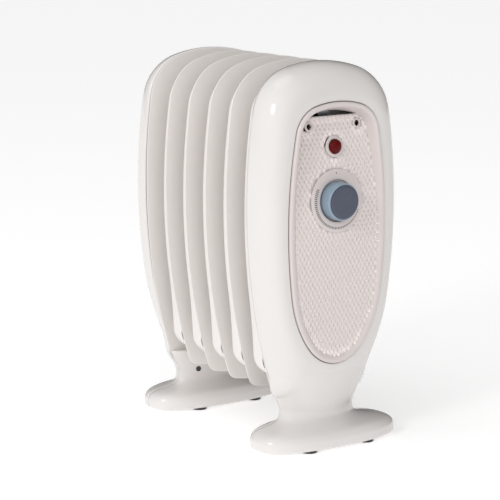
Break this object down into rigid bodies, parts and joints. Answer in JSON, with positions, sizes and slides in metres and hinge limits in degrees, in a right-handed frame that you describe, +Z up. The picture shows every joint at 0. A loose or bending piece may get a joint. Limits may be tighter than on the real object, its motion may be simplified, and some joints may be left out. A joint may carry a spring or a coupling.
{
  "type": "oil filled radiator heater",
  "caption": "Compact free-standing oil filled radiator with egg-shaped fins, glossy end covers on flared feet, a textured control panel, a thermostat knob and a neon lamp.",
  "frame": {"origin": "on the floor, at the middle of the bounding box's bottom face", "axes": "+Z up, the control panel faces -Y, +X to the right seen from the panel side"},
  "size_m": [0.1716, 0.2795, 0.3916],
  "materials": {
    "radiator_paint": "satin off-white enamel",
    "cover_plastic": "glossy off-white moulding",
    "panel_plastic": "off-white moulding with a small raised pattern",
    "knob_plastic": "blue-grey moulding",
    "cap_plastic": "dark slate moulding",
    "lamp_red": "translucent red lens",
    "black_rubber": "matt black rubber",
    "brass_parts": "machined brass",
    "screw_steel": "bright plated steel",
    "bracket_steel": "zinc plated steel sheet",
    "shield_aluminium": "plain aluminium sheet",
    "component_plastic": "moulded component housing",
    "lead_brown": "brown insulation",
    "lead_blue": "blue insulation",
    "lead_white": "white insulation",
    "lead_green": "green and yellow insulation"
  },
  "bodies": {
    "heater_body": {"control_leads": "lead_blue", "control_panel": "panel_plastic", "cord_gland": "black_rubber", "earth_lead": "lead_green", "earth_screw": "screw_steel", "earth_tag": "bracket_steel", "element_flange": "brass_parts", "element_gasket": "black_rubber", "element_terminals": "brass_parts", "filler_boss": "bracket_steel", "filler_plug": "screw_steel", "filler_washer": "screw_steel", "front_cover": "cover_plastic", "front_foot_pads": "black_rubber", "front_inner_leg": "cover_plastic", "front_leg_bracket": "bracket_steel", "front_leg_screws": "screw_steel", "header_boss": "bracket_steel", "heat_shield": "shield_aluminium", "heating_element": "screw_steel", "lamp_body": "component_plastic", "lamp_leads": "lead_white", "lamp_lens": "lamp_red", "lower_header_collars": "radiator_paint", "oil_chamber_1": "radiator_paint", "oil_chamber_2": "radiator_paint", "oil_chamber_3": "radiator_paint", "oil_chamber_4": "radiator_paint", "oil_chamber_5": "radiator_paint", "oil_chamber_6": "radiator_paint", "panel_bracket": "bracket_steel", "panel_screws": "screw_steel", "rear_cover": "cover_plastic", "rear_foot_pads": "black_rubber", "rear_inner_leg": "cover_plastic", "rear_leg_bracket": "bracket_steel", "rear_leg_screws": "screw_steel", "section_plate_1": "radiator_paint", "section_plate_2": "radiator_paint", "section_plate_3": "radiator_paint", "section_plate_4": "radiator_paint", "section_plate_5": "radiator_paint", "section_plate_6": "radiator_paint", "shield_studs": "bracket_steel", "supply_leads": "lead_brown", "terminal_block": "component_plastic", "thermal_cutout": "component_plastic", "thermostat_body": "component_plastic", "thermostat_bracket": "bracket_steel", "upper_header_collars": "radiator_paint"},
    "thermostat_knob": {"knob": "knob_plastic", "knob_cap": "cap_plastic", "thermostat_spindle": "brass_parts"}
  },
  "joints": [
    {"name": "thermostat_turn", "type": "hinge", "parent": "heater_body", "child": "thermostat_knob", "pos_m": [0, -0.125, 0.2535], "axis": [0, 1, 0], "range_deg": [0, 270]}
  ]
}
